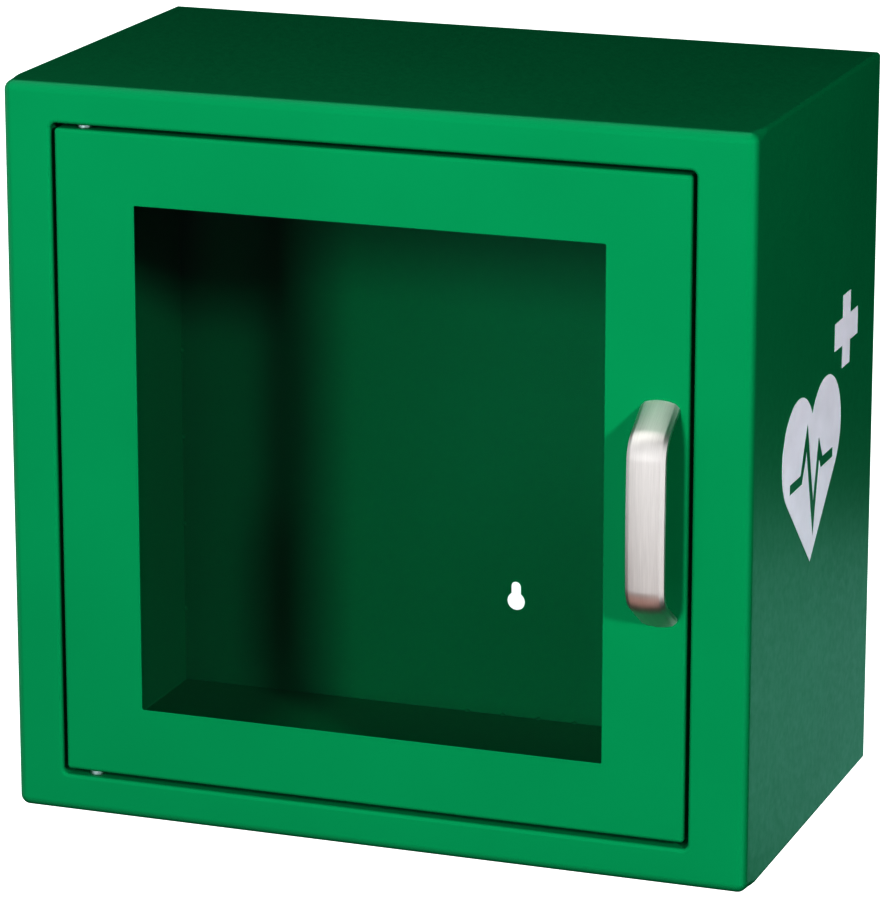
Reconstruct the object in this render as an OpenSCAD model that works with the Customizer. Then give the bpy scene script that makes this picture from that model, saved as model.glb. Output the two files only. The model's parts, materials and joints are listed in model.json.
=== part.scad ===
// Wall cabinet for a defibrillator: a folded sheet-steel case with an inset,
// glazed door on two vertical hinge pins, a bow handle, a magnetic catch and a
// small battery alarm on the right inner wall.
// Frame: the centre of the back face is the origin, +X is to the right seen
// from the front, +Y points into the wall and +Z is up.

/* [Case] */
// Outer width of the case
case_w = 380; // [340:5:440]
// Outer height of the case
case_h = 370; // [330:5:430]
// Outer depth of the case, wall to front face
case_d = 215; // [180:5:260]
// Thickness of every folded steel sheet
sheet_t = 1.2; // [1:0.1:1.5]
// Outer radius of the four front edges
front_bend_r = 5; // [3:0.5:6]
// Outer radius of the edges that run back to the wall
depth_edge_r = 2; // [1.8:0.1:3]

/* [Front frame] */
// Width of the frame's left border
border_left = 25; // [22:1:30]
// Width of the frame's right border
border_right = 29; // [26:1:34]
// Height of the frame's top and bottom borders
border_end = 19.5; // [17:0.5:24]
// Depth of the flange that lines the front opening
return_depth = 18; // [17:1:22]
// Outer radius of the bend between border and flange
return_bend_r = 2; // [1.5:0.5:3]

/* [Door] */
// Gap between door and frame at the sides and the top
gap = 2; // [1.8:0.1:2.5]
// Gap under the door, where the hinge shoulder carries it
gap_bottom = 2.8; // [2.6:0.1:3.2]
// Depth of the folded door tray
door_depth = 15; // [14:0.5:16]
// Outer radius of the door's bends and corners
door_bend_r = 2; // [1.5:0.5:2.5]
// Width of the lips folded in behind the door's two sides
door_lip = 9; // [8:0.5:10]
// Width of the window opening
window_w = 239; // [200:1:245]
// Height of the window opening
window_h = 255; // [220:1:258]
// Thickness of the clear pane
pane_t = 3; // [2:0.5:4]

/* [Hinge] */
// Distance of the hinge axis from the left outer side
hinge_in = 41; // [40:0.5:42]
// Distance of the hinge axis behind the front face
hinge_back = 7; // [6.8:0.1:7.5]
// Radius of both hinge pins
pin_r = 2.5; // [2.4:0.1:2.8]
// Radius of the silver shoulders that show in the gaps
shoulder_r = 4; // [3.8:0.1:4.2]

/* [Handle] */
// Distance between the handle's two screws
handle_pitch = 96; // [64:32:128]
// Width of the handle's strip
handle_w = 19.5; // [17:0.5:22]
// How far the handle stands out from the door
handle_reach = 24.5; // [23:0.5:28]
// Slant of the handle's legs, from square to the door
handle_slant = 33; // [28:1:38]
// Height of the handle's middle above the middle of the case
handle_z = 0; // [-20:0.5:20]

/* [Wall fixing] */
// Radius of a keyhole's round entry
keyhole_r = 5; // [4.5:0.1:6]
// Width of a keyhole's slot
keyhole_slot = 5.6; // [5:0.1:6.5]
// Distance between the two upper keyholes
keyhole_pitch = 240; // [180:10:280]
// Height of the upper keyholes above the middle of the case
keyhole_upper_z = 130; // [120:5:150]
// Height of the lower keyhole below the middle of the case
keyhole_lower_z = 120; // [110:0.5:140]

/* [Alarm] */
// Length of the alarm housing from front to back
alarm_len = 80; // [76:2:100]
// Height of the alarm housing
alarm_h = 60; // [58:2:70]
// Height of the alarm's lower edge above the middle of the case
alarm_z = 55; // [40:5:80]

/* [Hidden] */

round_fn = 64;              // segments of true circles
eps = 0.5;                  // how far a cutter runs past the face it cuts

green = [0, 0.62, 0.36];
steel = [0.75, 0.77, 0.78];
nickel = [0.82, 0.80, 0.78];
white = [0.90, 0.90, 0.92];
dark = [0.12, 0.12, 0.13];

y_front = -case_d;
side_in = case_w / 2 - sheet_t;               // inner face of a side wall

open_x0 = -case_w / 2 + border_left;
open_x1 = case_w / 2 - border_right;
open_z1 = case_h / 2 - border_end;
open_z0 = -open_z1;

door_w = open_x1 - open_x0 - 2 * gap;
door_h = open_z1 - open_z0 - gap - gap_bottom;
door_cx = (open_x0 + open_x1) / 2;
door_cz = (gap_bottom - gap) / 2;
door_back = y_front + door_depth;
door_top = door_cz + door_h / 2;
door_bottom = door_cz - door_h / 2;
door_right = door_cx + door_w / 2;
door_face_in = y_front + sheet_t;             // inner face of the door's front sheet

hinge_x = -case_w / 2 + hinge_in;
hinge_y = y_front + hinge_back;
running_gap = 0.08;                           // radial clearance of a pin in its hole

// ---------- shared shapes ----------

module disc(r, h) {
    cylinder(h = h, r = r, $fn = round_fn);
}

// A bar of length l along Y that starts at the local origin.
module along_y(r, l) {
    rotate([-90, 0, 0]) disc(r, l);
}

// A bar of length l along X that starts at the local origin.
module along_x(r, l) {
    rotate([0, 90, 0]) disc(r, l);
}

module block(x0, x1, y0, y1, z0, z1) {
    translate([x0, y0, z0]) cube([x1 - x0, y1 - y0, z1 - z0]);
}

module rounded_rect(w, h, r) {
    square([w - 2 * r, h], center = true);
    square([w, h - 2 * r], center = true);
    for (x = [-1, 1], y = [-1, 1]) {
        translate([x * (w / 2 - r), y * (h / 2 - r)]) circle(r = r, $fn = round_fn);
    }
}

// Plan of a box whose two front corners are bent to radius r.
module front_bent(w, d, r) {
    translate([-w / 2, r - d]) square([w, d - r]);
    translate([r - w / 2, -d]) square([w - 2 * r, d]);
    for (x = [-1, 1]) translate([x * (w / 2 - r), r - d]) circle(r = r, $fn = round_fn);
}

// A box from y = -d to y = 0 with bent front edges and rounded edges along Y.
module folded_box(w, d, h, bend_r, edge_r) {
    intersection() {
        rotate([90, 0, 0]) linear_extrude(d) rounded_rect(w, h, edge_r);
        translate([0, 0, -h / 2]) linear_extrude(h) front_bent(w, d, bend_r);
        rotate([0, 90, 0]) translate([0, 0, -w / 2]) linear_extrude(w)
            front_bent(h, d, bend_r);
    }
}

// The same box as a tray of sheet metal, open at the back.
module folded_tray(w, d, h, bend_r, edge_r) {
    difference() {
        folded_box(w, d, h, bend_r, edge_r);
        translate([0, eps, 0])
            folded_box(w - 2 * sheet_t, d - sheet_t + eps, h - 2 * sheet_t,
                bend_r - sheet_t, edge_r - sheet_t);
    }
}

// ---------- case ----------

// The front opening, widened at the very front so that its edges become bends.
module front_opening() {
    r = return_bend_r;
    block(open_x0, open_x1, y_front - eps, y_front + return_depth + eps, open_z0, open_z1);
    difference() {
        block(open_x0 - r, open_x1 + r, y_front - eps, y_front + r, open_z0 - r, open_z1 + r);
        for (x = [open_x0 - r, open_x1 + r]) {
            translate([x, y_front + r, open_z0 - 2 * r]) disc(r, open_z1 - open_z0 + 4 * r);
        }
        for (z = [open_z0 - r, open_z1 + r]) {
            translate([open_x0 - 2 * r, y_front + r, z])
                along_x(r, open_x1 - open_x0 + 4 * r);
        }
    }
}

module case_shell() {
    color(green) difference() {
        union() {
            folded_tray(case_w, case_d, case_h, front_bend_r, depth_edge_r);
            block(open_x0 - sheet_t, open_x1 + sheet_t, y_front + sheet_t / 2,
                y_front + return_depth, open_z0 - sheet_t, open_z1 + sheet_t);
        }
        front_opening();
        for (z = [open_z0 - sheet_t - eps, open_z1 - eps]) {
            translate([hinge_x, hinge_y, z]) disc(pin_r + running_gap, sheet_t + 2 * eps);
        }
    }
}

module keyhole_cutter() {
    slot_top = 8;
    along_y(keyhole_r, sheet_t + 2 * eps);
    translate([0, 0, slot_top]) along_y(keyhole_slot / 2, sheet_t + 2 * eps);
    block(-keyhole_slot / 2, keyhole_slot / 2, 0, sheet_t + 2 * eps, 0, slot_top);
}

keyhole_places = [
    [-keyhole_pitch / 2, keyhole_upper_z],
    [keyhole_pitch / 2, keyhole_upper_z],
    [0, -keyhole_lower_z],
];

module back_panel() {
    color(green) difference() {
        rotate([90, 0, 0]) linear_extrude(sheet_t)
            rounded_rect(case_w - 2 * sheet_t, case_h - 2 * sheet_t, depth_edge_r - sheet_t);
        for (p = keyhole_places) {
            translate([p[0], -sheet_t - eps, p[1]]) keyhole_cutter();
        }
    }
}

// Tack welds in the corner between the back panel and the wrapped sides.
module weld_bead(r) {
    intersection() {
        sphere(r = r, $fn = round_fn);
        block(-r, r, -r, 0, 0, r);
    }
}

module tack_welds() {
    bead_r = 1.4;
    pitch = 20;
    row_x = 3;
    floor_z = -case_h / 2 + sheet_t;
    color(green) {
        for (i = [-1.5:1.5]) {
            translate([i * pitch + row_x, -sheet_t, floor_z]) weld_bead(bead_r);
        }
        for (i = [-3:3]) {
            translate([i * 50, -sheet_t, -floor_z]) rotate([0, 180, 0]) weld_bead(bead_r);
            translate([-side_in, -sheet_t, i * 48]) rotate([0, 90, 0]) weld_bead(bead_r);
            translate([side_in, -sheet_t, i * 48]) rotate([0, -90, 0]) weld_bead(bead_r);
        }
    }
}

// Plain heart with a pulse line cut through it, and a plain cross.
heart_w = 104;
heart_h = 88;
mark_t = 0.2;
pulse_line = [[-38, 2], [-18, 2], [-9, 21], [4, -23], [13, 10], [18, 2], [38, 2]];

module heart_outline() {
    steps = 24;
    lobe_r = heart_w / 4 + 2;
    lobe_x = heart_w / 2 - lobe_r;
    lobe_z = heart_h / 2 - lobe_r;
    tip = [0, -heart_h / 2];
    reach = norm([lobe_x, lobe_z - tip[1]]);
    start = atan2(tip[1] - lobe_z, -lobe_x) + acos(lobe_r / reach);
    notch = acos(-lobe_x / lobe_r);
    right = [for (i = [0 : steps]) let (a = start + (notch - start) * i / steps)
        [lobe_x + lobe_r * cos(a), lobe_z + lobe_r * sin(a)]];
    left = [for (i = [steps - 1 : -1 : 0]) [-right[i][0], right[i][1]]];
    polygon(concat([tip], right, left));
}

// Offset from point i of the pulse line to the edge of a stroke of half width 1.
function turned(a, b) = let (u = (b - a) / norm(b - a)) [-u[1], u[0]];
function mitre(i) = let (
    last = len(pulse_line) - 1,
    before = turned(pulse_line[max(i - 1, 0)], pulse_line[max(i, 1)]),
    after = turned(pulse_line[min(i, last - 1)], pulse_line[min(i + 1, last)]),
    middle = (before + after) / norm(before + after)
) middle / (middle * before);

module pulse_stroke(width) {
    last = len(pulse_line) - 1;
    polygon(concat(
        [for (i = [0 : last]) pulse_line[i] + width / 2 * mitre(i)],
        [for (i = [last : -1 : 0]) pulse_line[i] - width / 2 * mitre(i)]
    ));
}

// Drawn flat: the first axis runs from the front edge towards the wall.
module side_marks() {
    pulse_w = 5;
    cross_w = 42;
    cross_h = 37;
    cross_bar = 14;
    heart_at = [103, 181.5];
    cross_at = [162, 241];
    linear_extrude(mark_t) {
        translate(heart_at) difference() {
            heart_outline();
            pulse_stroke(pulse_w);
        }
        translate(cross_at) square([cross_w, cross_bar], center = true);
        translate(cross_at) square([cross_bar, cross_h], center = true);
    }
}

module right_side_marks() {
    color(white) translate([case_w / 2, y_front, -case_h / 2]) rotate([90, 0, 90]) side_marks();
}

module left_side_marks() {
    color(white) mirror([1, 0, 0]) translate([case_w / 2, y_front, -case_h / 2])
        rotate([90, 0, 90]) side_marks();
}

// ---------- hinge ----------

washer_t = 0.5;
spigot_above = 7;            // length of the lower pin inside the door
shoulder_t = gap_bottom - washer_t;

module lower_hinge_pin() {
    tail_t = 1;
    color(steel) translate([hinge_x, hinge_y, open_z0]) {
        translate([0, 0, -sheet_t - tail_t]) disc(shoulder_r, tail_t);
        translate([0, 0, -sheet_t - tail_t / 2])
            disc(pin_r, sheet_t + gap_bottom + sheet_t + spigot_above);
        disc(shoulder_r, shoulder_t);
    }
}

module ring(r_out, r_in, h) {
    difference() {
        disc(r_out, h);
        translate([0, 0, -eps]) disc(r_in, h + 2 * eps);
    }
}

module lower_hinge_washer() {
    color(steel) translate([hinge_x, hinge_y, open_z0 + shoulder_t])
        ring(shoulder_r, pin_r + running_gap, washer_t);
}

bush_t = 1.7;
module upper_hinge_bush() {
    color(steel) translate([hinge_x, hinge_y, door_top])
        ring(shoulder_r, pin_r + running_gap, bush_t);
}

ear_z = door_top - 25.5;     // top face of the bracket's ear
ear_t = 1.5;
module pin_bracket() {
    half_w = 7;
    web_h = 12;
    color(steel) difference() {
        union() {
            block(hinge_x - half_w, hinge_x + half_w, door_face_in, hinge_y + half_w - 0.6,
                ear_z - ear_t, ear_z);
            block(hinge_x - half_w, hinge_x + half_w, door_face_in, door_face_in + ear_t,
                ear_z - web_h, ear_z);
        }
        translate([hinge_x, hinge_y, ear_z - ear_t - eps])
            disc(pin_r + running_gap, ear_t + 2 * eps);
    }
}

pin_tip_z = open_z1 + 3.5;
collar_t = 2;
collar_z = door_top - sheet_t - collar_t;
module upper_hinge_pin() {
    knob_r = 4.2;
    knob_h = 8;
    knob_z = ear_z - 22;
    tip_cone = 1;
    color(steel) translate([hinge_x, hinge_y, 0]) {
        translate([0, 0, knob_z]) disc(pin_r, pin_tip_z - tip_cone - knob_z);
        translate([0, 0, pin_tip_z - tip_cone])
            cylinder(h = tip_cone, r1 = pin_r, r2 = pin_r - tip_cone, $fn = round_fn);
        translate([0, 0, collar_z]) disc(shoulder_r, collar_t);
        translate([0, 0, knob_z]) disc(knob_r, knob_h);
    }
}

// Round wire wound as a helix between the ear and the pin's collar.
module pin_spring() {
    wire_r = 0.4;
    coil_r = pin_r + 1.1;
    turns = 7;
    per_turn = 16;
    sides = 8;
    low = ear_z + wire_r;
    high = collar_z - wire_r;
    count = turns * per_turn;
    points = [for (i = [0 : count], j = [0 : sides - 1])
        let (a = 360 * i / per_turn, b = 360 * j / sides, r = coil_r + wire_r * cos(b))
        [r * cos(a), r * sin(a), low + (high - low) * i / count + wire_r * sin(b)]];
    walls = [for (i = [0 : count - 1], j = [0 : sides - 1])
        let (k = (j + 1) % sides)
        [i * sides + j, i * sides + k, (i + 1) * sides + k, (i + 1) * sides + j]];
    start_cap = [for (j = [sides - 1 : -1 : 0]) j];
    end_cap = [for (j = [0 : sides - 1]) count * sides + j];
    color(steel) translate([hinge_x, hinge_y, 0])
        polyhedron(points, concat([start_cap], walls, [end_cap]), convexity = 10);
}

// ---------- door ----------

hole_fit = 0.25;             // radial clearance of a screw in a sheet hole
screw_r = 2;                 // M4
stud_r = 1.5;                // M3

module door_panel() {
    lip_h = door_h - 2 * sheet_t - 2;
    color(green) difference() {
        union() {
            translate([door_cx, door_back, door_cz])
                folded_tray(door_w, door_depth, door_h, door_bend_r, door_bend_r);
            for (x = [-1, 1]) {
                translate([door_cx + x * (door_w - door_lip) / 2, door_back - sheet_t / 2, door_cz])
                    cube([door_lip, sheet_t, lip_h], center = true);
            }
        }
        translate([door_cx, y_front, door_cz])
            cube([window_w, 4 * sheet_t, window_h], center = true);
        for (z = [-1, 1]) {
            translate([handle_x, y_front - eps, handle_z + z * handle_pitch / 2])
                along_y(screw_r + hole_fit, sheet_t + 2 * eps);
        }
        for (z = [door_bottom - eps, door_top - sheet_t - eps]) {
            translate([hinge_x, hinge_y, z]) disc(pin_r + running_gap, sheet_t + 2 * eps);
        }
    }
}

tape_t = 0.8;
tape_w = 9;
tape_in = 3;                 // distance of the tape from the window's edge
pane_lap = 14;               // how far the pane reaches behind the door's sheet
pane_y = door_face_in + tape_t;

module window_pane() {
    color([0.85, 0.95, 0.92, 0.3]) translate([door_cx, pane_y + pane_t, door_cz])
        rotate([90, 0, 0]) linear_extrude(pane_t)
            square([window_w + 2 * pane_lap, window_h + 2 * pane_lap], center = true);
}

module window_tape() {
    inner = [window_w + 2 * tape_in, window_h + 2 * tape_in];
    color(dark) translate([door_cx, pane_y, door_cz]) rotate([90, 0, 0])
        linear_extrude(tape_t) difference() {
            square(inner + [2 * tape_w, 2 * tape_w], center = true);
            square(inner, center = true);
        }
}

// Children are drawn at each pane fixing, with local +X pointing at the window.
stud_out = pane_lap + 5;     // distance of a stud from the window's edge
module at_pane_fixings() {
    side = window_w / 2 + stud_out;
    end = window_h / 2 + stud_out;
    for (z = [-1, 1]) {
        translate([door_cx - side, door_face_in, door_cz + z * 75]) children();
        translate([door_cx + side, door_face_in, door_cz + z * 75])
            rotate([0, 180, 0]) children();
        translate([door_cx + z * 70, door_face_in, door_cz - end])
            rotate([0, -90, 0]) children();
        translate([door_cx + z * 70, door_face_in, door_cz + end])
            rotate([0, 90, 0]) children();
    }
}

clip_t = 1.2;
clip_y = tape_t + pane_t;    // underside of a clip above the sheet
nut_t = 2.4;

module pane_studs() {
    base_r = 2.2;
    base_t = 0.7;
    color(steel) at_pane_fixings() {
        along_y(stud_r, clip_y + clip_t + nut_t + 1);
        along_y(base_r, base_t);
    }
}

module pane_clips() {
    width = 12;
    heel = -4.5;
    toe = 11;
    color(steel) at_pane_fixings() difference() {
        union() {
            block(heel, toe, clip_y, clip_y + clip_t, -width / 2, width / 2);
            block(heel, heel + clip_t, 0, clip_y + clip_t, -width / 2, width / 2);
        }
        translate([0, -eps, 0]) along_y(stud_r + hole_fit, 2 * clip_y);
    }
}

module pane_nuts() {
    across_corners = 6.4;
    color(steel) at_pane_fixings() translate([0, clip_y + clip_t, 0]) difference() {
        rotate([-90, 0, 0]) cylinder(h = nut_t, d = across_corners, $fn = 6);
        translate([0, -eps, 0]) along_y(stud_r, nut_t + 2 * eps);
    }
}

// ---------- handle ----------

handle_x = case_w / 2 - 45;
handle_end = 7.5;            // from a screw's axis to the handle's tip, at the door
handle_h = handle_pitch + 2 * handle_end;
strip_t = 4.8;
bend_out_r = 17.5;           // outer radius of the bend between leg and grip
screw_bite = 7;              // how far a screw goes into the handle

// What the bow closes in with the door, its outline drawn in by d, from height start above
// the door. The first axis runs up, the second out from the door.
module bow(d, start) {
    r = bend_out_r - d;
    reach = handle_reach - d;
    foot = handle_h / 2 - d / cos(handle_slant);
    foot_z = foot - start * tan(handle_slant);
    bend = foot - reach * tan(handle_slant) - r * tan(45 - handle_slant / 2);
    touch = [bend + r * cos(handle_slant), reach - r + r * sin(handle_slant)];
    intersection() {
        translate([-handle_h, start]) square([2 * handle_h, reach - start]);
        union() {
            polygon([[foot_z, start], touch, [bend, reach - r], [bend, reach],
                [-bend, reach], [-bend, reach - r], [-touch[0], touch[1]], [-foot_z, start]]);
            for (z = [-1, 1]) {
                translate([z * bend, reach - r]) circle(r = r, $fn = round_fn);
            }
        }
    }
}

// The bow's outline, drawn in by d and extruded to width w.
module bow_block(d, w, start = 0) {
    rotate([0, -90, 180]) translate([0, 0, -w / 2]) linear_extrude(w) bow(d, start);
}

module door_handle() {
    boss_r = 4.5;
    boss_len = 14;
    color(nickel) translate([handle_x, y_front, handle_z]) difference() {
        union() {
            difference() {
                bow_block(0, handle_w);
                bow_block(strip_t, handle_w + 2, -eps);
            }
            for (z = [-1, 1]) {
                intersection() {
                    translate([0, -boss_len, z * handle_pitch / 2]) along_y(boss_r, boss_len);
                    bow_block(strip_t / 2, 2 * boss_r + 2);
                }
            }
        }
        for (z = [-1, 1]) {
            translate([0, -screw_bite - 1, z * handle_pitch / 2])
                along_y(screw_r, screw_bite + 1 + eps);
        }
    }
}

module handle_screws() {
    head_r = 3.8;
    head_t = 2.4;
    drive_r = 1.4;
    drive_t = 1.2;
    color(steel) for (z = [-1, 1]) {
        translate([handle_x, y_front, handle_z + z * handle_pitch / 2]) difference() {
            union() {
                translate([0, -screw_bite, 0]) along_y(screw_r, screw_bite + sheet_t + eps);
                translate([0, sheet_t, 0]) along_y(head_r, head_t);
            }
            translate([0, sheet_t + head_t - drive_t, 0]) rotate([-90, 0, 0])
                cylinder(h = drive_t + eps, r = drive_r, $fn = 6);
        }
    }
}

// ---------- magnetic catch ----------

catch_x = door_right - 6;
catch_gap = 0.2;             // between the pole plates and the door's lip
catch_len = 46;
catch_w = 13;
catch_back = door_back + catch_gap + 15;
pole_proud = 1;
bracket_t = 1.5;
catch_screw_pitch = 36;

module catch_bracket() {
    half_h = catch_len / 2 + 2;
    x_in = catch_x - catch_w / 2 - 1;
    x_wall = open_x1 + sheet_t;
    color(green) difference() {
        translate([0, 0, handle_z]) {
            block(x_wall, x_wall + bracket_t, y_front + 4, catch_back + bracket_t,
                -half_h, half_h);
            block(x_in, x_wall + bracket_t, catch_back, catch_back + bracket_t,
                -half_h, half_h);
        }
        for (z = [-1, 1]) {
            translate([catch_x, catch_back - eps, handle_z + z * catch_screw_pitch / 2])
                along_y(stud_r + hole_fit, bracket_t + 2 * eps);
        }
    }
}

magnet_w = 4;
magnet_len = 26;
pole_t = 1.2;
module catch_body() {
    y0 = door_back + catch_gap + pole_proud;
    pocket_w = magnet_w + 2 * pole_t + 0.2;
    pocket_len = magnet_len + 0.2;
    pocket_depth = 9;
    screw_depth = 8;
    color(white) difference() {
        translate([catch_x, catch_back, handle_z])
            folded_box(catch_w, catch_back - y0, catch_len, 1.5, 1);
        block(catch_x - pocket_w / 2, catch_x + pocket_w / 2, y0 - eps, y0 + pocket_depth,
            handle_z - pocket_len / 2, handle_z + pocket_len / 2);
        for (z = [-1, 1]) {
            translate([catch_x, catch_back - screw_depth, handle_z + z * catch_screw_pitch / 2])
                along_y(stud_r, screw_depth + eps);
        }
    }
}

module catch_magnet() {
    y0 = door_back + catch_gap + pole_proud;
    color(dark) block(catch_x - magnet_w / 2, catch_x + magnet_w / 2, y0 + 0.5, y0 + 9,
        handle_z - magnet_len / 2, handle_z + magnet_len / 2);
}

module catch_pole_plates() {
    y0 = door_back + catch_gap;
    color(steel) for (x = [catch_x - magnet_w / 2 - pole_t, catch_x + magnet_w / 2]) {
        block(x, x + pole_t, y0, y0 + pole_proud + 9,
            handle_z - magnet_len / 2, handle_z + magnet_len / 2);
    }
}

module catch_screws() {
    head_r = 2.8;
    head_t = 1.8;
    shank = 7;
    color(steel) for (z = [-1, 1]) {
        translate([catch_x, catch_back + bracket_t, handle_z + z * catch_screw_pitch / 2]) {
            translate([0, -bracket_t - shank, 0]) along_y(stud_r, bracket_t + shank + eps);
            along_y(head_r, head_t);
        }
    }
}

// ---------- alarm ----------

alarm_y0 = y_front + 27;     // front end of the housing
alarm_y1 = alarm_y0 + alarm_len;
alarm_z1 = alarm_z + alarm_h;
alarm_wall = 1.8;
foam_t = 1;
base_x = side_in - foam_t - alarm_wall;
cover_depth = 20.2;
face_x = base_x - cover_depth;              // the cover's visible face
face_in = face_x + alarm_wall;
alarm_corner = 3;

// A plate in the Y-Z plane with rounded corners, from x0 to x1.
module alarm_plate(x0, x1, inset) {
    translate([x0, (alarm_y0 + alarm_y1) / 2, (alarm_z + alarm_z1) / 2])
        rotate([90, 0, 90]) linear_extrude(x1 - x0)
            rounded_rect(alarm_len - 2 * inset, alarm_h - 2 * inset, alarm_corner - inset / 2);
}

module alarm_tape() {
    color(dark) alarm_plate(side_in - foam_t, side_in, 4);
}

module alarm_base() {
    color(white) alarm_plate(base_x, base_x + alarm_wall, 0);
}

battery_len = 48.5;
battery_h = 26.5;
battery_t = 17.5;
battery_y0 = alarm_y1 - alarm_wall - 0.7 - battery_len;
battery_z0 = alarm_z + 24;
battery_x0 = face_in + 0.4;
lid_w = 30;
lid_len = 50;
lid_z = battery_z0 + battery_h / 2;
tongue_w = 1.4;
tongue_t = 0.7;
lid_gap = 0.3;

// Section of the battery door across its slide, in X and Z, widened by grow.
module lid_section(grow) {
    half = lid_w / 2 + grow;
    middle = alarm_wall / 2;
    translate([-grow, -half]) square([alarm_wall + 2 * grow, 2 * half]);
    translate([middle - tongue_t / 2 - grow / 2, -half - tongue_w])
        square([tongue_t + grow, 2 * (half + tongue_w)]);
}

module lid_bar(grow, y0, y1) {
    translate([face_x, y1, lid_z]) rotate([90, 0, 0]) linear_extrude(y1 - y0)
        lid_section(grow);
}

switch_y = alarm_y0 + 14;
switch_z = alarm_z + 8;
switch_travel = 4;
switch_stem = [5, 3.4];
siren_y = alarm_y0 + 14;
siren_z = alarm_z + 36;

module alarm_cover() {
    slot = [switch_stem[0] + switch_travel + 0.6, switch_stem[1] + 0.6];
    hole_ring = 6;
    color(white) difference() {
        alarm_plate(face_x, base_x, 0);
        alarm_plate(face_in, base_x + eps, alarm_wall);
        lid_bar(lid_gap, alarm_y1 - lid_len - lid_gap, alarm_y1 + eps);
        block(face_x - eps, face_in + eps, switch_y - switch_stem[0] / 2 - 0.3,
            switch_y - switch_stem[0] / 2 - 0.3 + slot[0],
            switch_z - slot[1] / 2, switch_z + slot[1] / 2);
        for (a = [0 : 60 : 300]) {
            translate([face_x - eps, siren_y + hole_ring * cos(a), siren_z + hole_ring * sin(a)])
                along_x(1.2, alarm_wall + 2 * eps);
        }
        translate([face_x - eps, siren_y, siren_z]) along_x(1.2, alarm_wall + 2 * eps);
    }
}

module alarm_battery_door() {
    grip_w = 1.2;
    color(white) difference() {
        lid_bar(0, alarm_y1 - lid_len, alarm_y1);
        for (i = [0 : 4]) {
            block(face_x - eps, face_x + 0.5, alarm_y1 - 18 + 2.6 * i,
                alarm_y1 - 18 + 2.6 * i + grip_w, lid_z - 8, lid_z + 8);
        }
    }
}

module alarm_switch_knob() {
    base = [8, 6];
    y = switch_y;
    color(dark) {
        block(face_x - 1.5, face_in + 0.3, y - switch_stem[0] / 2, y + switch_stem[0] / 2,
            switch_z - switch_stem[1] / 2, switch_z + switch_stem[1] / 2);
        block(face_in + 0.2, face_in + 1.4, y - base[0] / 2, y + base[0] / 2,
            switch_z - base[1] / 2, switch_z + base[1] / 2);
    }
}

board_t = 1.6;
board_y1 = battery_y0 - 2;
module alarm_board() {
    color([0.1, 0.35, 0.2]) block(base_x - board_t, base_x, alarm_y0 + 3, board_y1,
        alarm_z + 4, alarm_z1 - 4);
}

module alarm_siren() {
    disc_r = 11;
    disc_t = 4;
    color(dark) translate([face_in, siren_y, siren_z]) along_x(disc_r, disc_t);
}

module alarm_reed_switch() {
    tube_r = 1.1;
    tube_l = 14;
    color(steel) translate([base_x - board_t - tube_r, alarm_y0 + 5, alarm_z + 16])
        disc(tube_r, tube_l);
}

module alarm_contacts() {
    blade_t = 0.5;
    color([0.8, 0.65, 0.3]) for (z = [lid_z - 6.5, lid_z + 6.5]) {
        block(base_x - board_t - 10, base_x - board_t, battery_y0 - 2 - 1,
            battery_y0 - 2 - 1 + blade_t, z - 2.5, z + 2.5);
    }
}

module alarm_battery() {
    terminal_r = 3;
    terminal_l = 2.5;
    color(dark) {
        block(battery_x0, battery_x0 + battery_t, battery_y0, battery_y0 + battery_len,
            battery_z0, battery_z0 + battery_h);
        for (z = [lid_z - 6.5, lid_z + 6.5]) {
            translate([battery_x0 + battery_t / 2, battery_y0 - terminal_l, z])
                along_y(terminal_r, terminal_l + eps);
        }
    }
}

magnet_block = [8, 7, 30];
magnet_z = alarm_z + 23;
module alarm_magnet_holder() {
    x0 = door_right - 1 - magnet_block[0];
    color(white) difference() {
        translate([x0, door_back, magnet_z - magnet_block[2] / 2]) cube(magnet_block);
        translate([x0 + magnet_block[0] / 2, door_back + magnet_block[1] / 2, magnet_z - 9])
            disc(2, 18);
    }
}

module alarm_magnet() {
    color(dark) translate([door_right - 1 - magnet_block[0] / 2,
        door_back + magnet_block[1] / 2, magnet_z - 9]) disc(2, 18);
}

case_shell();
back_panel();
tack_welds();
right_side_marks();
left_side_marks();
lower_hinge_pin();
lower_hinge_washer();
catch_bracket();
catch_body();
catch_magnet();
catch_pole_plates();
catch_screws();
alarm_tape();
alarm_base();
alarm_cover();
alarm_board();
alarm_siren();
alarm_reed_switch();
alarm_contacts();
alarm_battery();
alarm_battery_door();
alarm_switch_knob();
door_panel();
window_pane();
window_tape();
pane_studs();
pane_clips();
pane_nuts();
door_handle();
handle_screws();
pin_bracket();
upper_hinge_bush();
upper_hinge_pin();
pin_spring();
alarm_magnet_holder();
alarm_magnet();
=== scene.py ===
"""Looks of the defibrillator wall cabinet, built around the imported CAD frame. Metres throughout."""
import json
import math

import bmesh
import bpy
from mathutils import Matrix, Vector

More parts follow.
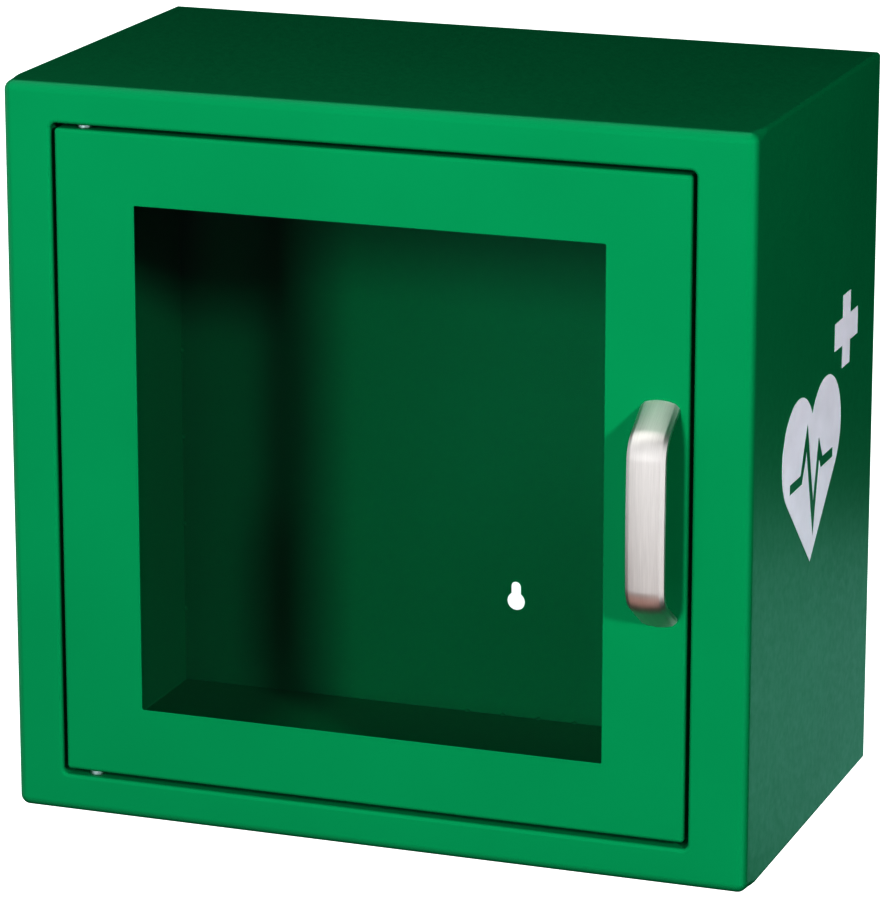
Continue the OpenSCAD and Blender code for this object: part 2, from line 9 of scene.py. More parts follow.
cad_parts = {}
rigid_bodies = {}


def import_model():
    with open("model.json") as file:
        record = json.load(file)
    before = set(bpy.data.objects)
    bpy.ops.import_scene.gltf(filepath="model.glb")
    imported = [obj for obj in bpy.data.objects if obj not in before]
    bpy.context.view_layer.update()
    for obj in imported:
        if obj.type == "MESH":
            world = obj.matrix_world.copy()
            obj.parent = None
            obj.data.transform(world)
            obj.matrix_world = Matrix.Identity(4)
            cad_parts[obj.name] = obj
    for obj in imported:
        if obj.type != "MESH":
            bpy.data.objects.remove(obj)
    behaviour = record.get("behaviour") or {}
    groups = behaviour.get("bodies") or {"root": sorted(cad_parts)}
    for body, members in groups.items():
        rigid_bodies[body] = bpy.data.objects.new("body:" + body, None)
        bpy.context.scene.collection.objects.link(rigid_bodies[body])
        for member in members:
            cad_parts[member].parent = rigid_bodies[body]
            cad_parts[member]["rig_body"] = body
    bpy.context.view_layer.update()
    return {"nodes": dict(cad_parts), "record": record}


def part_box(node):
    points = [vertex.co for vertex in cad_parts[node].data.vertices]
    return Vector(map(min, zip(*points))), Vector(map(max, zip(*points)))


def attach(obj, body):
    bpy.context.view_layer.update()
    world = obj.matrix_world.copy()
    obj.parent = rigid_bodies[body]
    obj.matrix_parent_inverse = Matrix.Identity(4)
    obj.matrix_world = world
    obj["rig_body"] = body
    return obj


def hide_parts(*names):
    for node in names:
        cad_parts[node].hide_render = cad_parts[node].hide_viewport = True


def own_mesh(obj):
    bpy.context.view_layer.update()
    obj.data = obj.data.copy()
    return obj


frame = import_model()

MM = 0.001
SHEET = 1.2 * MM          # thickness of the folded steel
EDGE = 0.25 * MM          # rounding that the powder coat leaves on a sheared edge
PIN_HOLE_R = 2.58 * MM    # radius of the hinge pins' holes

case_low, case_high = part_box("case_shell")
door_low, door_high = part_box("door_panel")
handle_low, handle_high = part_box("door_handle")
pane_low, pane_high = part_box("window_pane")
pin_low, pin_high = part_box("upper_hinge_pin")
Y_FRONT = case_low.y
HINGE_X = (pin_low.x + pin_high.x) / 2
HINGE_Y = (pin_low.y + pin_high.y) / 2


# ---------------------------------------------------------------- materials

def linear(r, g, b):
    """Scene-linear RGBA from 0-255 display values."""
    def one(v):
        v /= 255
        return v / 12.92 if v <= 0.04045 else ((v + 0.055) / 1.055) ** 2.4
    return (one(r), one(g), one(b), 1.0)


class Nodes:
    """A node material with its Principled shader, and short calls for what hangs on it."""

    def __init__(self, name, **sockets):
        self.material = bpy.data.materials.new(name)
        self.material.use_nodes = True
        self.tree = self.material.node_tree
        self.shader = self.tree.nodes["Principled BSDF"]
        self.output = self.tree.nodes["Material Output"]
        self.place = self.tree.nodes.new("ShaderNodeTexCoord").outputs["Object"]
        for socket, value in sockets.items():
            self.shader.inputs[socket.replace("_", " ")].default_value = value

    def link(self, output, socket):
        self.tree.links.new(output, socket)

    def stretched(self, scale):
        """Object coordinates, scaled differently along each axis."""
        n = self.tree.nodes.new("ShaderNodeMapping")
        n.inputs["Scale"].default_value = scale
        self.link(self.place, n.inputs["Vector"])
        return n.outputs["Vector"]

    def noise(self, scale, detail=2.0, roughness=0.5, vector=None):
        """Noise with features about 1 / scale wide, in metres unless another vector is given."""
        n = self.tree.nodes.new("ShaderNodeTexNoise")
        n.inputs["Scale"].default_value = scale
        n.inputs["Detail"].default_value = detail
        n.inputs["Roughness"].default_value = roughness
        self.link(vector or self.place, n.inputs["Vector"])
        return n.outputs["Fac"]

    def spread(self, fac, low, high, start=0.3, end=0.7):
        """Fac from start to end becomes a value from low to high."""
        n = self.tree.nodes.new("ShaderNodeMapRange")
        n.inputs["From Min"].default_value = start
        n.inputs["From Max"].default_value = end
        n.inputs["To Min"].default_value = low
        n.inputs["To Max"].default_value = high
        self.link(fac, n.inputs["Value"])
        return n.outputs["Result"]

    def colours(self, fac, first, second):
        """A colour that goes from first to second as fac goes from 0 to 1."""
        n = self.tree.nodes.new("ShaderNodeMix")
        n.data_type = "RGBA"
        n.inputs["A"].default_value = first
        n.inputs["B"].default_value = second
        self.link(fac, n.inputs["Factor"])
        return n.outputs["Result"]

    def bump(self, height, distance, strength=1.0, after=None):
        """A normal from a height of up to distance metres, on top of the normal in after."""
        n = self.tree.nodes.new("ShaderNodeBump")
        n.inputs["Strength"].default_value = strength
        n.inputs["Distance"].default_value = distance
        self.link(height, n.inputs["Height"])
        if after is not None:
            self.link(after, n.inputs["Normal"])
        return n.outputs["Normal"]

    def drive(self, socket, output):
        """Feeds a node's output into one of the shader's sockets."""
        self.link(output, self.shader.inputs[socket])


def powder_coat():
    """Semi-gloss green powder coat: shallow orange peel of about 2 mm, with a finer grain on it."""
    deep, light = (0, 0.184, 0.074, 1), (0, 0.197, 0.080, 1)
    m = Nodes("green_powder_coat", IOR=1.5, Specular_IOR_Level=0.22, Specular_Tint=(0.2, 1, 0.9, 1))
    m.drive("Base Color", m.colours(m.spread(m.noise(9, 3), 0, 1), deep, light))
    m.drive("Roughness", m.spread(m.noise(260, 3), 0.32, 0.39))
    peel = m.bump(m.noise(420, 2, 0.4), 0.000014, 0.5)
    m.drive("Normal", m.bump(m.noise(1900, 2), 0.000006, 0.3, after=peel))
    return m.material


def metal(name, colour, rough, grain=(900, 900, 900), depth=0.00001, anisotropic=0.0):
    """Bare metal with a grain. Scaled differently along the axes, the noise becomes brush lines."""
    darker = 0.86
    m = Nodes(name, Metallic=1.0, Anisotropic=anisotropic, Anisotropic_Rotation=0.25)
    if anisotropic:
        along = m.tree.nodes.new("ShaderNodeTangent")
        along.direction_type = "RADIAL"
        along.axis = "X"
        m.drive("Tangent", along.outputs["Tangent"])
    lines = m.noise(1.0, 4, 0.6, m.stretched(grain))
    dark = tuple(darker * c for c in colour[:3]) + (1.0,)
    m.drive("Base Color", m.colours(m.spread(lines, 0, 1), dark, colour))
    m.drive("Roughness", m.spread(m.noise(1.0, 3, 0.5, m.stretched(grain)), rough[0], rough[1]))
    m.drive("Normal", m.bump(lines, depth, 0.5))
    return m.material


def moulded(name, colour, rough=(0.42, 0.55), grain=1400, depth=0.00002, **sockets):
    """Plastic, film, foam, ferrite or glass with a fine, even texture and slightly uneven colour."""
    darker = 0.93
    m = Nodes(name, **sockets)
    dark = tuple(darker * c for c in colour[:3]) + (1.0,)
    m.drive("Base Color", m.colours(m.spread(m.noise(60, 3), 0, 1), colour, dark))
    m.drive("Roughness", m.spread(m.noise(grain / 4, 2), rough[0], rough[1]))
    m.drive("Normal", m.bump(m.noise(grain, 2), depth, 0.5))
    return m.material


def acrylic():
    """Clear pane: light goes straight through, but for a reflected share that grows at a slant."""
    straight_share = 0.04        # reflected when looked at squarely
    falloff = 5                  # power by which the reflected share grows
    m = Nodes("clear_acrylic", Base_Color=(0.002, 0.004, 0.004, 1.0), IOR=1.49)
    m.drive("Roughness", m.spread(m.noise(35, 3), 0.02, 0.05))
    clear = m.tree.nodes.new("ShaderNodeBsdfTransparent")
    clear.inputs["Color"].default_value = (0.91, 0.945, 0.94, 1.0)
    facing = m.tree.nodes.new("ShaderNodeLayerWeight")
    facing.inputs["Blend"].default_value = 0.5
    steep = m.tree.nodes.new("ShaderNodeMath")
    steep.operation = "POWER"
    steep.inputs[1].default_value = falloff
    m.link(facing.outputs["Facing"], steep.inputs[0])
    mix = m.tree.nodes.new("ShaderNodeMixShader")
    m.link(m.spread(steep.outputs["Value"], straight_share, 1.0, 0, 1), mix.inputs["Fac"])
    m.link(clear.outputs["BSDF"], mix.inputs[1])
    m.link(m.shader.outputs["BSDF"], mix.inputs[2])
    m.link(mix.outputs["Shader"], m.output.inputs["Surface"])
    return m.material


GREEN = powder_coat()
NICKEL = metal("brushed_nickel", linear(211, 209, 208), (0.46, 0.53), (3800, 60, 60), 0.000008, 0.57)
ZINC = metal("zinc_plate", linear(172, 190, 190), (0.36, 0.44), (500, 500, 500), 0.000002)
SPRING = metal("spring_steel", linear(150, 152, 156), (0.25, 0.35))
BRASS = metal("sheet_brass", linear(205, 170, 95), (0.25, 0.38))
FERRITE = moulded("ferrite", linear(52, 52, 56), (0.5, 0.65), 900)
FOAM = moulded("closed_cell_foam", linear(34, 34, 36), (0.8, 0.95), 1200, 0.00008)
WHITE_PLASTIC = moulded("white_moulded_plastic", linear(226, 226, 222))
BLACK_PLASTIC = moulded("black_moulded_plastic", linear(28, 28, 30))
VINYL = moulded("white_vinyl_film", linear(241, 241, 250), (0.42, 0.48), 500, 0.000002,
                Specular_IOR_Level=0.25)
BOARD = moulded("circuit_board", linear(34, 105, 62), (0.3, 0.45), 700)
JACKET = moulded("battery_jacket", linear(44, 44, 50), (0.28, 0.4), 300, 0.00001)
REED_GLASS = moulded("reed_glass", linear(150, 175, 160), (0.05, 0.12), 300, 0.000002)
PANE = acrylic()


# ---------------------------------------------------------------- mesh tools

SHADED_SHARP = math.radians(40)      # a steeper edge is shaded as an edge
ROUNDED_FROM = math.radians(35)      # a steeper edge of a CAD node gets rounded
FLAT_WITHIN = math.radians(0.5)      # CAD facets that differ by less are one face
WELD = 0.001 * MM                    # vertices closer than this are one


def piece(name, mesh, material, body, slot, *replaced):
    """A finished piece: smooth-shaded, in its material, riding on its CAD body."""
    obj = bpy.data.objects.new(name, mesh)
    bpy.context.scene.collection.objects.link(obj)
    mesh.materials.clear()
    mesh.materials.append(material)
    for polygon in mesh.polygons:
        polygon.use_smooth = True
    mesh.set_sharp_from_angle(angle=SHADED_SHARP)
    weighted = obj.modifiers.new("weighted", "WEIGHTED_NORMAL")
    weighted.keep_sharp = True
    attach(obj, body)
    if replaced:
        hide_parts(*replaced)
    return obj


def to_mesh(name, bm):
    """Turns the bmesh into a mesh whose faces all look outward, and frees it."""
    bmesh.ops.recalc_face_normals(bm, faces=bm.faces)
    mesh = bpy.data.meshes.new(name)
    bm.to_mesh(mesh)
    bm.free()
    return mesh


def finished(node, radius, material):
    """A copy of a CAD node with its sharp edges rounded, in place of the node."""
    source = frame["nodes"][node]
    bm = bmesh.new()
    bm.from_mesh(source.data)
    bmesh.ops.remove_doubles(bm, verts=bm.verts, dist=WELD)
    bmesh.ops.dissolve_limit(bm, angle_limit=FLAT_WITHIN, verts=bm.verts, edges=bm.edges)
    if radius:
        sharp = [e for e in bm.edges
                 if len(e.link_faces) == 2 and e.calc_face_angle(0) > ROUNDED_FROM]
        bmesh.ops.bevel(bm, geom=sharp, offset=radius, segments=2, profile=0.5,
                        affect="EDGES", clamp_overlap=True)
    slot = next(s["material_slot"] for s in frame["record"]["subparts"] if s["node"] == node)
    return piece(node + "_finished", to_mesh(node, bm), material, source["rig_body"], slot, node)


def ring(x0, x1, z0, z1, corner, y, steps=8):
    """Points of a rounded rectangle at depth y, anticlockwise seen from the front."""
    smallest = 0.02 * MM         # keeps the points of a sharp corner apart
    corner = max(corner, smallest)
    points = []
    for cx, cz, start in ((x1, z1, 0), (x0, z1, 90), (x0, z0, 180), (x1, z0, 270)):
        mx = cx - math.copysign(corner, cx - (x0 + x1) / 2)
        mz = cz - math.copysign(corner, cz - (z0 + z1) / 2)
        for i in range(steps + 1):
            a = math.radians(start + 90 * i / steps)
            points.append(Vector((mx + corner * math.cos(a), y, mz + corner * math.sin(a))))
    return points


def add_rings(bm, rings, closed):
    """Quads between neighbouring rings; closed joins the last ring to the first."""
    rows = [[bm.verts.new(p) for p in points] for points in rings]
    pairs = list(zip(rows, rows[1:])) + ([(rows[-1], rows[0])] if closed else [])
    for a, b in pairs:
        for i in range(len(a)):
            j = (i + 1) % len(a)
            bm.faces.new((a[i], a[j], b[j], b[i]))
    return rows


def add_block(bm, low, high, bevel):
    """A box with rounded edges."""
    size = Vector(high) - Vector(low)
    place = Matrix.Translation((Vector(low) + Vector(high)) / 2) @ Matrix.Diagonal((*size, 1))
    made = bmesh.ops.create_cube(bm, size=1, matrix=place)
    edges = list({e for v in made["verts"] for e in v.link_edges})
    bmesh.ops.bevel(bm, geom=edges, offset=bevel, segments=2, profile=0.5, affect="EDGES")


def drilled(mesh, holes):
    """The mesh with round holes cut through it. A hole is (centre, axis, radius, length)."""
    obj = bpy.data.objects.new("drilled", mesh)
    bpy.context.scene.collection.objects.link(obj)
    cutters = []
    for centre, axis, radius, length in holes:
        bm = bmesh.new()
        turn = Vector(axis).to_track_quat("Z", "Y").to_matrix().to_4x4()
        bmesh.ops.create_cone(bm, cap_ends=True, segments=48, radius1=radius, radius2=radius,
                              depth=length, matrix=Matrix.Translation(centre) @ turn)
        cutter = bpy.data.objects.new("cutter", to_mesh("cutter", bm))
        bpy.context.scene.collection.objects.link(cutter)
        cut = obj.modifiers.new("cut", "BOOLEAN")
        cut.object = cutter
        cut.solver = "EXACT"
        cutters.append(cutter)
    depsgraph = bpy.context.evaluated_depsgraph_get()
    result = bpy.data.meshes.new_from_object(obj.evaluated_get(depsgraph))
    for scratch in (obj, *cutters):
        bpy.data.objects.remove(scratch)
    return result


def bend(radius, start, end, steps=7):
    """(inset, depth) offsets of a bend from the front plane: 0 degrees is flat on the front."""
    for i in range(steps + 1):
        a = math.radians(start + (end - start) * i / steps)
        yield radius - radius * math.sin(a), radius - radius * math.cos(a)


# ---------------------------------------------------------------- sheet metal

def case_shell():
    """Wrapped sides, front border and return flange as one folded sheet with ground corners."""
    bend_r = 5 * MM
    depth_edge = 2 * MM          # radius of the four edges that run from front to back
    blend = 14 * MM              # behind the bend, the ball corner runs out into the sharper edge
    flange_r = 2 * MM
    opening_corner = 3 * MM
    border_left, border_right, border_ends = 25 * MM, 29 * MM, 19.5 * MM
    flange_depth = 18 * MM
    hole_length = 6 * MM         # longer than the flange is thick

    def outside(inset, y, corner):
        return ring(case_low.x + inset, case_high.x - inset,
                    case_low.z + inset, case_high.z - inset, corner, y)

    def opening(grow, y):
        return ring(case_low.x + border_left - grow, case_high.x - border_right + grow,
                    case_low.z + border_ends - grow, case_high.z - border_ends + grow,
                    opening_corner + grow, y)

    rings = [outside(e, Y_FRONT + d, bend_r - e) for e, d in bend(bend_r, 0, 90)]
    for share in (0.35, 0.7, 1.0):
        eased = share * share * (3 - 2 * share)
        rings.append(outside(0, Y_FRONT + bend_r + share * blend,
                             bend_r + (depth_edge - bend_r) * eased))
    rings.append(outside(0, -EDGE, depth_edge))
    rings.append(outside(EDGE, 0, depth_edge - EDGE))
    rings.append(outside(SHEET - EDGE, 0, depth_edge - SHEET + EDGE))
    rings.append(outside(SHEET, -EDGE, depth_edge - SHEET))
    inner = [outside(SHEET + e, Y_FRONT + SHEET + d, bend_r - SHEET - e)
             for e, d in bend(bend_r - SHEET, 0, 90)]
    rings.append(outside(SHEET, Y_FRONT + bend_r + blend, depth_edge - SHEET))
    rings += reversed(inner)
    rings += [opening(SHEET + e, Y_FRONT + SHEET + d) for e, d in bend(flange_r - SHEET, 0, 90, 3)]
    rings.append(opening(SHEET, Y_FRONT + flange_depth - EDGE))
    rings.append(opening(SHEET - EDGE, Y_FRONT + flange_depth))
    rings.append(opening(EDGE, Y_FRONT + flange_depth))
    rings.append(opening(0, Y_FRONT + flange_depth - EDGE))
    rings += reversed([opening(e, Y_FRONT + d) for e, d in bend(flange_r, 0, 90)])
    bm = bmesh.new()
    add_rings(bm, rings, closed=True)
    holes = [((HINGE_X, HINGE_Y, z), (0, 0, 1), PIN_HOLE_R, hole_length)
             for z in (case_low.z + border_ends, case_high.z - border_ends)]
    mesh = drilled(to_mesh("case_shell", bm), holes)
    piece("case_folded_shell", mesh, GREEN, "case", "green_powder_coat", "case_shell")


def door_panel():
    """Folded tray with a window cut from its face and two stiffening lips."""
    bend_r = 2 * MM
    lip = 9 * MM
    lip_end = 1 * MM             # gap between a lip's end and the tray's wall
    lip_set_in = 0.01 * MM       # keeps a lip's back face just inside the wall's edge
    rail_side, rail_end = 41.5 * MM, 35.6 * MM
    window_corner = 0.8 * MM
    hole_length = 5 * MM         # longer than the wall is thick

    def outside(inset, y, corner):
        return ring(door_low.x + inset, door_high.x - inset,
                    door_low.z + inset, door_high.z - inset, corner, y)

    def window(grow, y):
        return ring(door_low.x + rail_side - grow, door_high.x - rail_side + grow,
                    door_low.z + rail_end - grow, door_high.z - rail_end + grow,
                    window_corner + grow, y)

    rings = [outside(e, Y_FRONT + d, bend_r - e) for e, d in bend(bend_r, 0, 90, 6)]
    rings.append(outside(0, door_high.y - EDGE, bend_r))
    rings.append(outside(EDGE, door_high.y, bend_r - EDGE))
    rings.append(outside(SHEET - EDGE, door_high.y, bend_r - SHEET + EDGE))
    rings.append(outside(SHEET, door_high.y - EDGE, bend_r - SHEET))
    rings += reversed([outside(SHEET + e, Y_FRONT + SHEET + d, bend_r - SHEET - e)
                       for e, d in bend(bend_r - SHEET, 0, 90, 3)])
    rings.append(window(EDGE, Y_FRONT + SHEET))
    rings.append(window(0, Y_FRONT + SHEET - EDGE))
    rings.append(window(0, Y_FRONT + EDGE))
    rings.append(window(EDGE, Y_FRONT))
    bm = bmesh.new()
    add_rings(bm, rings, closed=True)
    top, bottom = door_high.z - SHEET - lip_end, door_low.z + SHEET + lip_end
    for x0, x1 in ((door_low.x + EDGE, door_low.x + lip), (door_high.x - lip, door_high.x - EDGE)):
        add_block(bm, (x0, door_high.y - SHEET, bottom), (x1, door_high.y - lip_set_in, top), EDGE)
    holes = [((HINGE_X, HINGE_Y, z), (0, 0, 1), PIN_HOLE_R, hole_length)
             for z in (door_low.z, door_high.z)]
    mesh = drilled(to_mesh("door_panel", bm), holes)
    piece("door_folded_tray", mesh, GREEN, "door", "green_powder_coat", "door_panel")


def window_pane():
    """Acrylic pane with polished, lightly chamfered edges."""
    chamfer = 0.35 * MM
    corner = 2 * MM
    bm = bmesh.new()

    def outline(inset, y):
        return ring(pane_low.x + inset, pane_high.x - inset, pane_low.z + inset,
                    pane_high.z - inset, corner, y, 4)

    rows = add_rings(bm, [outline(chamfer, pane_low.y), outline(0, pane_low.y + chamfer),
                          outline(0, pane_high.y - chamfer), outline(chamfer, pane_high.y)], False)
    bm.faces.new(rows[0])
    bm.faces.new(rows[-1])
    mesh = to_mesh("window_pane", bm)
    piece("acrylic_pane", mesh, PANE, "door", "clear_pane", "window_pane")


# ---------------------------------------------------------------- handle

def door_handle():
    """Bow handle: a crowned strip with bevelled edges, swept from foot to foot."""
    half_w = (handle_high.x - handle_low.x) / 2
    centre_x = (handle_high.x + handle_low.x) / 2
    centre_z = (handle_high.z + handle_low.z) / 2
    half_h = (handle_high.z - handle_low.z) / 2
    reach = Y_FRONT - handle_low.y
    slant = math.radians(33)         # how far the legs lean from square to the door
    turn = math.pi / 2 - slant
    radius = 17.5 * MM               # outside of the bends
    thick = 4.8 * MM
    crown_r = 28 * MM                # the strip's face is crowned from side to side
    bevel_w, bevel_t, edge_t = 2.25 * MM, 1.85 * MM, 2 * MM
    edge_r = 0.3 * MM                # eases the strip's edges
    edge_lift = 0.02 * MM            # keeps the eased edge just below the bevel
    boss_r, boss_z = 4.5 * MM, 48 * MM
    boss_gap = 0.1 * MM              # from a boss's end to the door
    bow = math.radians(2.5)          # the grip is not quite straight: its ends lean back this much
    across, grip_steps, bend_steps, boss_steps = 40, 8, 16, 40
    grip_r = ((half_h - radius * (math.sin(turn) - math.sin(bow))
               - (reach - radius * (math.cos(bow) - math.cos(turn))) * math.tan(slant))
              / (math.sin(bow) - (1 - math.cos(bow)) * math.tan(slant)))

    def section():
        """Closed outline across the strip: (x, depth below the crown's top)."""
        slope = bevel_t / bevel_w
        bevel_start = half_w - (thick - edge_t) / slope
        points = []
        for i in range(-across, across + 1):
            x = half_w * i / across
            crown = crown_r - math.sqrt(crown_r ** 2 - x * x)
            bevel = (abs(x) - bevel_start) * slope
            points.append((x, max(crown, bevel)))
        points[0] = (-half_w + edge_r, thick - edge_t - edge_r * slope + edge_lift)
        points[-1] = (half_w - edge_r, points[0][1])
        side = [(half_w, thick - edge_t + edge_r), (half_w, thick - 2 * edge_r),
                (half_w - edge_r, thick - edge_r), (half_w - 3 * edge_r, thick)]
        return points + side + [(-x, d) for x, d in reversed(side)]

    outline = section()

    def station(z, out, angle):
        """The outline, square to the path. Angle is 0 on the grip and grows toward the foot."""
        nz, nd = math.sin(angle), math.cos(angle)
        return [(x, z - nz * v, out - nd * v) for x, v in outline]

    half = []
    for i in range(grip_steps + 1):
        a = bow * i / grip_steps
        half.append(station(grip_r * math.sin(a), reach - grip_r * (1 - math.cos(a)), a))
    bend_z = (grip_r - radius) * math.sin(bow)
    bend_d = reach - grip_r * (1 - math.cos(bow)) - radius * math.cos(bow)
    for i in range(1, bend_steps + 1):
        a = bow + (turn - bow) * i / bend_steps
        half.append(station(bend_z + radius * math.sin(a), bend_d + radius * math.cos(a), a))
    end = half[-1]

    def toward_foot(share):
        """The last outline, moved that share of the way down the leg to the door."""
        return [(x, z + d * share * math.tan(slant), d * (1 - share)) for x, z, d in end]

    half += [toward_foot(share) for share in (0.3, 0.6, 0.85, 0.97, 1.0)]
    lower = [[(x, -z, d) for x, z, d in row] for row in reversed(half[1:])]
    rows = [[Vector((centre_x + x, Y_FRONT - d, centre_z + z)) for x, z, d in row]
            for row in lower + half]
    bm = bmesh.new()
    rows = add_rings(bm, rows, closed=False)
    bm.faces.new(rows[0])
    bm.faces.new(rows[-1])
    inside = half_h - thick / 2 / math.cos(slant)

    def boss(side, at_door):
        """Ring of a screw boss: round at the door, and cut off inside the leg."""
        for i in range(boss_steps):
            a = 2 * math.pi * i / boss_steps
            z = boss_z + boss_r * math.sin(a)
            depth = boss_gap if at_door else (inside - z) / math.tan(slant)
            yield Vector((centre_x + boss_r * math.cos(a), Y_FRONT - depth, centre_z + side * z))

    for side in (-1, 1):
        ends = add_rings(bm, [list(boss(side, True)), list(boss(side, False))], closed=False)
        bm.faces.new(ends[0])
        bm.faces.new(ends[1])
    piece("bow_handle", to_mesh("door_handle", bm), NICKEL, "door", "brushed_nickel", "door_handle")


# ---------------------------------------------------------------- pieces kept from the CAD

# node, rounding of its edges, material
FINISHES = (
    ("back_panel", 0.2 * MM, GREEN),
    ("catch_bracket", 0.2 * MM, GREEN),
    ("catch_body", 0.3 * MM, WHITE_PLASTIC),
    ("catch_magnet", 0.2 * MM, FERRITE),
    ("catch_pole_plates", 0.15 * MM, ZINC),
    ("catch_screws", 0.25 * MM, ZINC),
    ("lower_hinge_pin", 0.2 * MM, ZINC),
    ("lower_hinge_washer", 0.1 * MM, ZINC),
    ("upper_hinge_bush", 0.2 * MM, ZINC),
    ("upper_hinge_pin", 0.2 * MM, ZINC),
    ("pin_bracket", 0.2 * MM, ZINC),
    ("pane_studs", 0.15 * MM, ZINC),
    ("pane_clips", 0.2 * MM, ZINC),
    ("pane_nuts", 0.2 * MM, ZINC),
    ("handle_screws", 0.3 * MM, ZINC),
    ("window_tape", 0.1 * MM, FOAM),
    ("alarm_tape", 0.1 * MM, FOAM),
    ("alarm_base", 0.3 * MM, WHITE_PLASTIC),
    ("alarm_cover", 0.4 * MM, WHITE_PLASTIC),
    ("alarm_battery_door", 0.15 * MM, WHITE_PLASTIC),
    ("alarm_magnet_holder", 0.4 * MM, WHITE_PLASTIC),
    ("alarm_switch_knob", 0.25 * MM, BLACK_PLASTIC),
    ("alarm_siren", 0.3 * MM, BLACK_PLASTIC),
    ("alarm_board", 0.1 * MM, BOARD),
    ("alarm_battery", 0.6 * MM, JACKET),
    ("alarm_reed_switch", 0.3 * MM, REED_GLASS),
    ("alarm_contacts", 0.1 * MM, BRASS),
    ("alarm_magnet", 0.2 * MM, FERRITE),
    ("right_side_marks", 0, VINYL),
    ("left_side_marks", 0, VINYL),
    ("tack_welds", 0, GREEN),
)


def pin_spring():
    """The upper pin's spring, finished and given a mesh of its own. The real spring gets shorter as the
    pin is pulled down.
    """
    spring = finished("pin_spring", 0, SPRING)
    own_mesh(spring)


case_shell()
door_panel()
window_pane()
door_handle()
for node, radius, material in FINISHES:
    finished(node, radius, material)
pin_spring()


# ---------------------------------------------------------------- stage

WHITE = (1.3, 1.3, 1.3, 1)      # stays plain white through the pane too
VIEW_CONTRAST = 1.5             # the materials and lights are set for a view this much steeper


def camera_white(tree, surface):
    """Emission that shows plain white to the camera and nothing to any other ray."""
    white = tree.nodes.new("ShaderNodeEmission")
    white.inputs["Color"].default_value = WHITE
    path = tree.nodes.new("ShaderNodeLightPath")
    tree.links.new(path.outputs["Is Camera Ray"], white.inputs["Strength"])
    tree.links.new(white.outputs["Emission"], surface)


def floor():
    """Plain white floor under the cabinet, which takes no shadow and gives no light."""
    gap = 0.5 * MM
    bm = bmesh.new()
    bmesh.ops.create_grid(bm, x_segments=1, y_segments=1, size=8,
                          matrix=Matrix.Translation((0, 0, case_low.z - gap)))
    obj = bpy.data.objects.new("floor", to_mesh("floor", bm))
    bpy.context.scene.collection.objects.link(obj)
    made = bpy.data.materials.new("pale_floor")
    made.use_nodes = True
    tree = made.node_tree
    camera_white(tree, tree.nodes["Material Output"].inputs["Surface"])
    obj.data.materials.append(made)
    obj.visible_diffuse = obj.visible_glossy = obj.visible_shadow = False


def world():
    """Studio that fills the shadows a little, and plain white where the camera looks past the object."""
    fill = 0.06                  # strength for diffuse rays. Reflections see black
    made = bpy.data.worlds.new("studio")
    made.use_nodes = True
    tree = made.node_tree
    path = tree.nodes.new("ShaderNodeLightPath")
    level = tree.nodes.new("ShaderNodeMath")
    level.operation = "MULTIPLY_ADD"
    level.inputs[1].default_value = fill
    tree.links.new(path.outputs["Is Diffuse Ray"], level.inputs[0])
    tree.links.new(path.outputs["Is Camera Ray"], level.inputs[2])
    background = tree.nodes["Background"]
    background.inputs["Color"].default_value = WHITE
    tree.links.new(level.outputs["Value"], background.inputs["Strength"])
    bpy.context.scene.world = made


def toward(azimuth, elevation):
    """Direction of length 1, by degrees round from straight ahead of the door and degrees up."""
    az, el = math.radians(azimuth), math.radians(elevation)
    return Vector((math.sin(az) * math.cos(el), -math.cos(az) * math.cos(el), math.sin(el)))


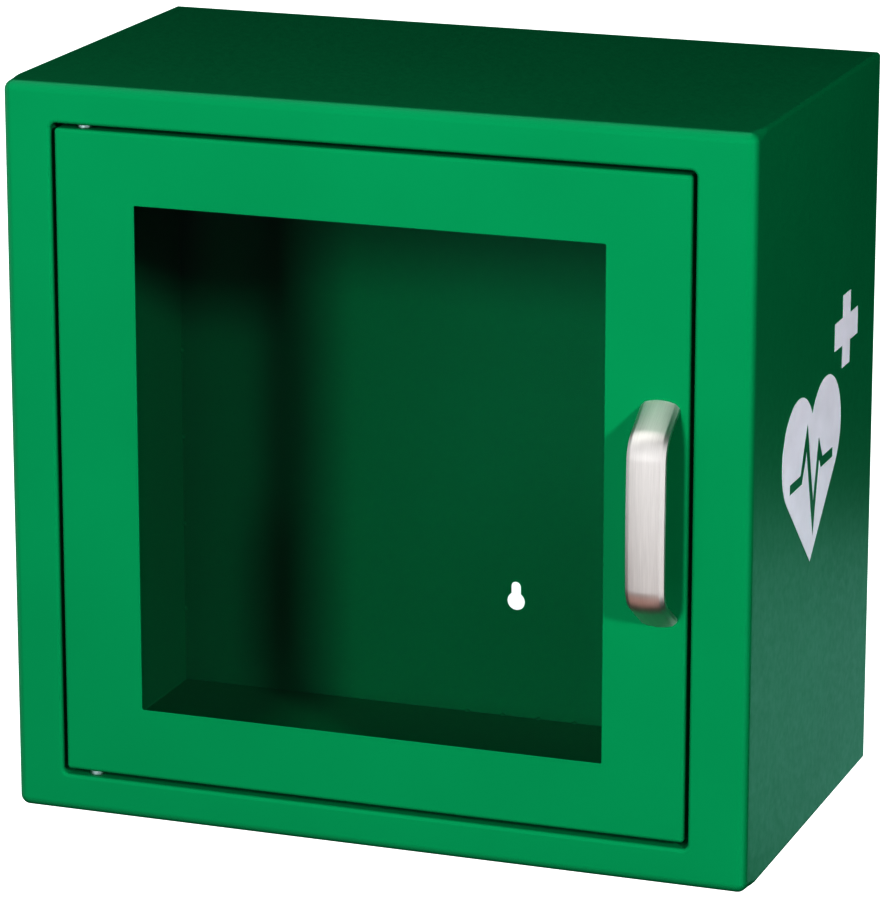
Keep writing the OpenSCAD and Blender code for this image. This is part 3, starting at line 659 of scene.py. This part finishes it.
def softbox(name, azimuth, elevation, distance, size, radiance, colour=(1, 1, 1),
            lights=True, reflects=True):
    """Panel that faces the middle of the front, placed by angles from it.

    It lights the surfaces, shows in their reflections, or both. Azimuth 0 is straight ahead of the
    door, and 90 is on its right.
    """
    aim = Vector((0, Y_FRONT, 0))
    place = aim + distance * toward(azimuth, elevation)
    data = bpy.data.lights.new(name, "AREA")
    data.shape = "RECTANGLE"
    data.size, data.size_y = size
    data.energy = radiance * math.pi * size[0] * size[1]
    data.color = colour
    obj = bpy.data.objects.new(name, data)
    bpy.context.scene.collection.objects.link(obj)
    obj.location = place
    obj.rotation_euler = (aim - place).to_track_quat("-Z", "Y").to_euler()
    obj.visible_camera = False
    obj.visible_diffuse = lights
    obj.visible_glossy = reflects


# name, azimuth, elevation, distance, (width, height), radiance
LIGHTS = (
    ("front_box", -5.7, 18.2, 2.256, (0.43, 0.63), 84),
    ("right_box", 51.5, 19.2, 2.893, (0.15, 0.27), 690),
    ("left_panel", -25, 42, 1.5, (1.4, 1.2), 0.85),
    ("rear_left_panel", -114, -14, 2.2, (1.7, 1.7), 3.4),
    ("rear_panel", -156, -14, 2.2, (1.7, 1.7), 3.4),
)
# the same, and the colour
CARDS = (
    ("overhead_card", -90, 75, 1.8, (2.2, 2.2), 2.6, (1, 1, 0.97)),
    ("glow_card", -12, 3, 1.9, (0.9, 0.8), 1.5, (1, 1, 1)),
    ("front_card", -10, 11, 2.0, (3.6, 3.5), 1.45, (1, 1, 1)),
    ("left_card", -85, 10, 1.8, (2.0, 2.4), 1.4, (1, 1, 1)),
    ("right_card", 60, 0, 1.8, (1.4, 3.0), 2.2, (1, 1, 1)),
    ("floor_card", -20, -58, 1.2, (1.8, 0.7), 1.0, (1, 0.6, 0.52)),
)


def camera():
    """Long lens, from above and from the door's right, aimed by a direction and not at a point."""
    azimuth, elevation = 20.02, 15.41
    data = bpy.data.cameras.new("camera")
    data.lens = 192.6
    data.sensor_width = 36
    data.clip_end = 50
    obj = bpy.data.objects.new("camera", data)
    bpy.context.scene.collection.objects.link(obj)
    obj.location = (0.802, -2.318, 0.6353)
    obj.rotation_euler = (-toward(azimuth, elevation)).to_track_quat("-Z", "Y").to_euler()
    bpy.context.scene.camera = obj


floor()
world()
camera()
bpy.context.scene.view_settings.view_transform = "Standard"
bpy.context.scene.view_settings.gamma = 1 / VIEW_CONTRAST
for light in LIGHTS:
    softbox(*light, reflects=False)
for card in CARDS:
    softbox(*card, lights=False)
softbox("low_card", 160, -22.5, 1.0, (0.7, 0.25), 1.2, (0.62, 1, 1))
